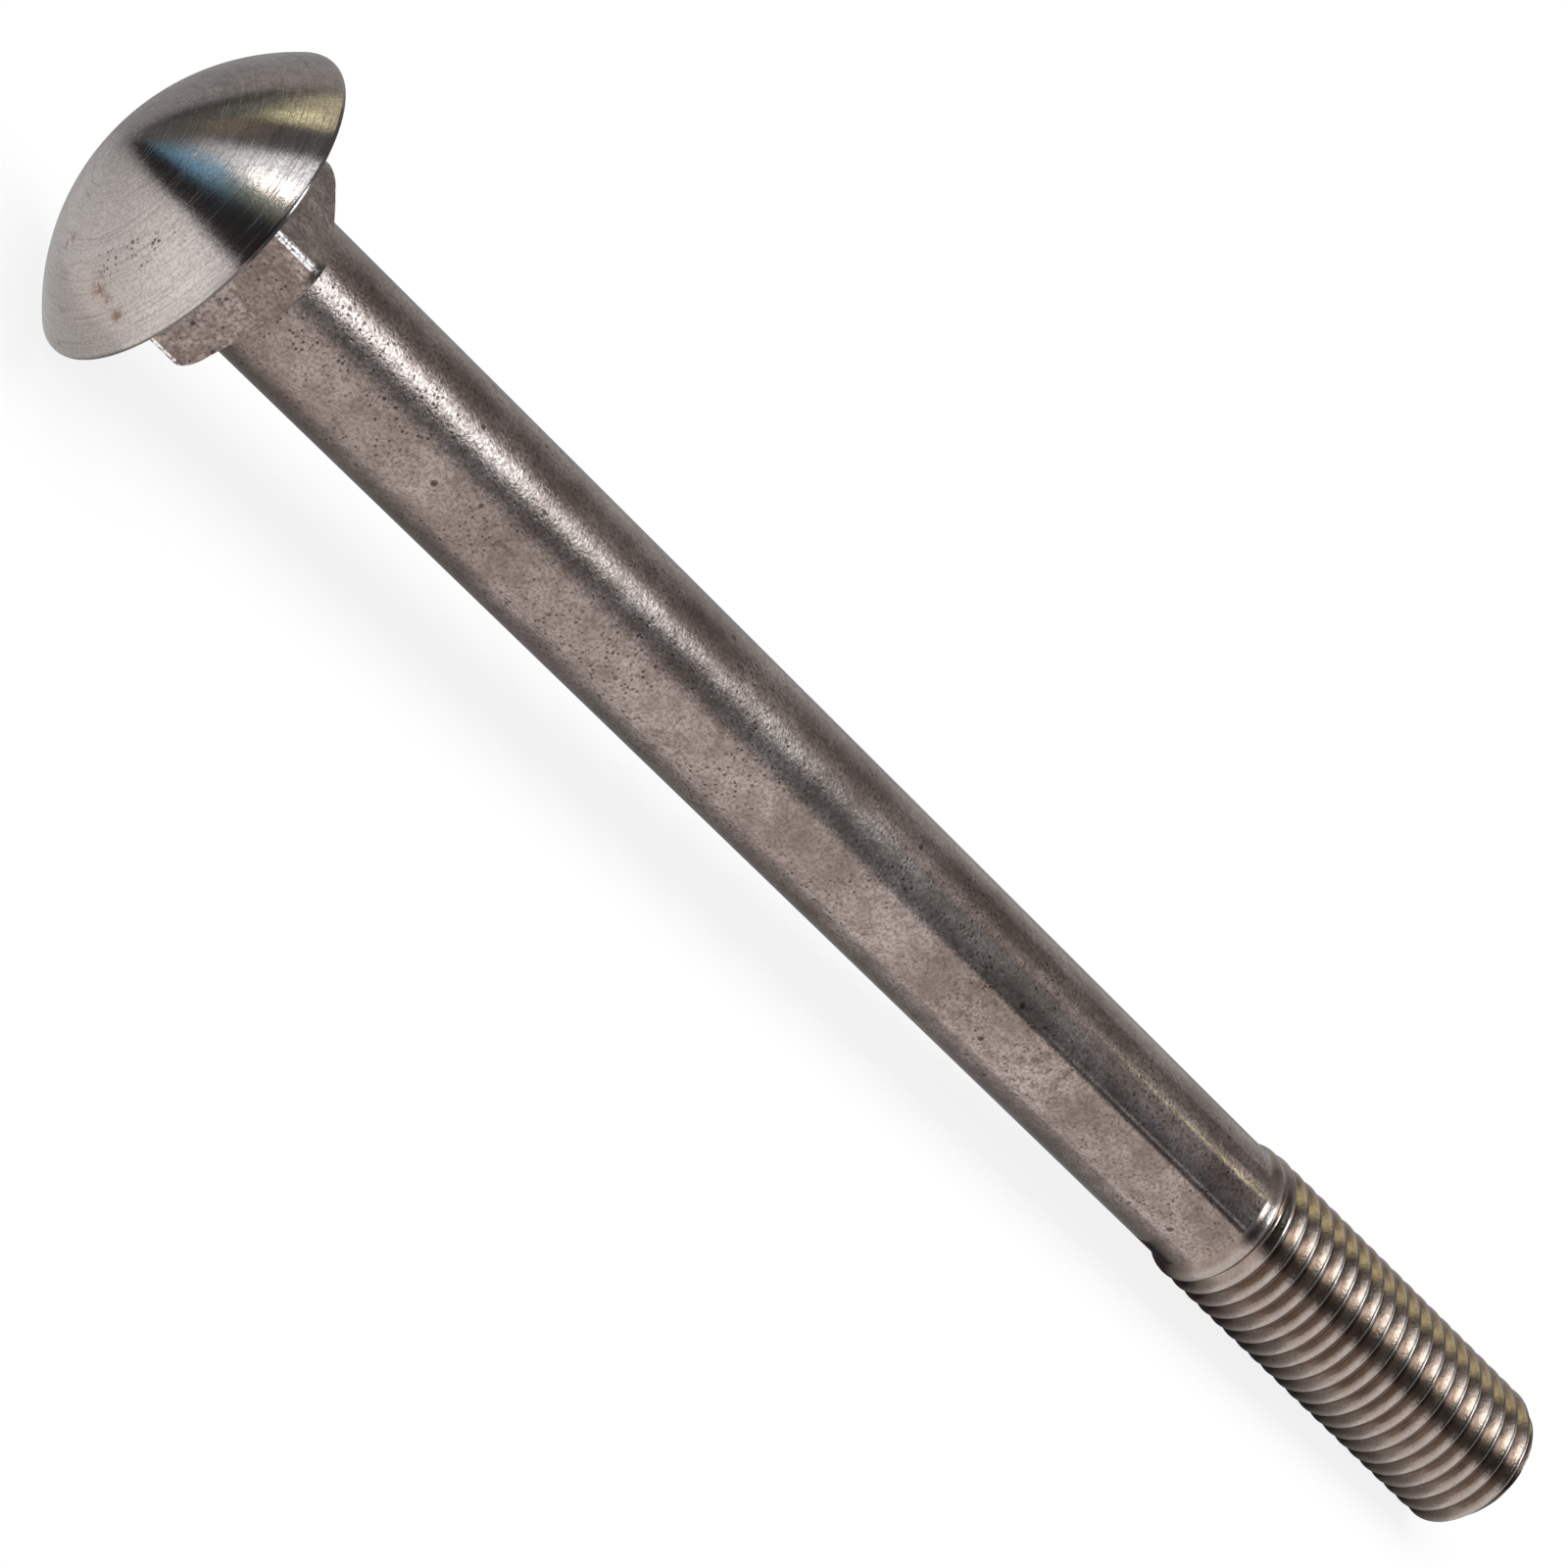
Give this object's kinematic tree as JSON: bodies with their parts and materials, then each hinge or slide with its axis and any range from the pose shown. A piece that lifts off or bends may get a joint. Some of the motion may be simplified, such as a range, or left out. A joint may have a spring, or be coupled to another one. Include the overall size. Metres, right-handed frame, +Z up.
{
  "type": "carriage bolt",
  "caption": "Long carriage bolt with a domed head, a square neck that keeps it from turning in timber, a plain shank and a coarse thread.",
  "frame": {"origin": "on the ground under the middle of the lying bolt's box", "axes": "+X from the domed head to the threaded point, +Z up, +Y across the bolt; the bolt lies on its head's rim and on its last thread, so its axis dips 2.6 degrees towards the point"},
  "size_m": [0.2384, 0.0396, 0.0396],
  "materials": {
    "stainless_steel": "bright turned dome; satin, slightly pitted neck and shank; brighter rolled thread"
  },
  "bodies": {
    "root": {"carriage_bolt": "stainless_steel"}
  },
  "joints": []
}
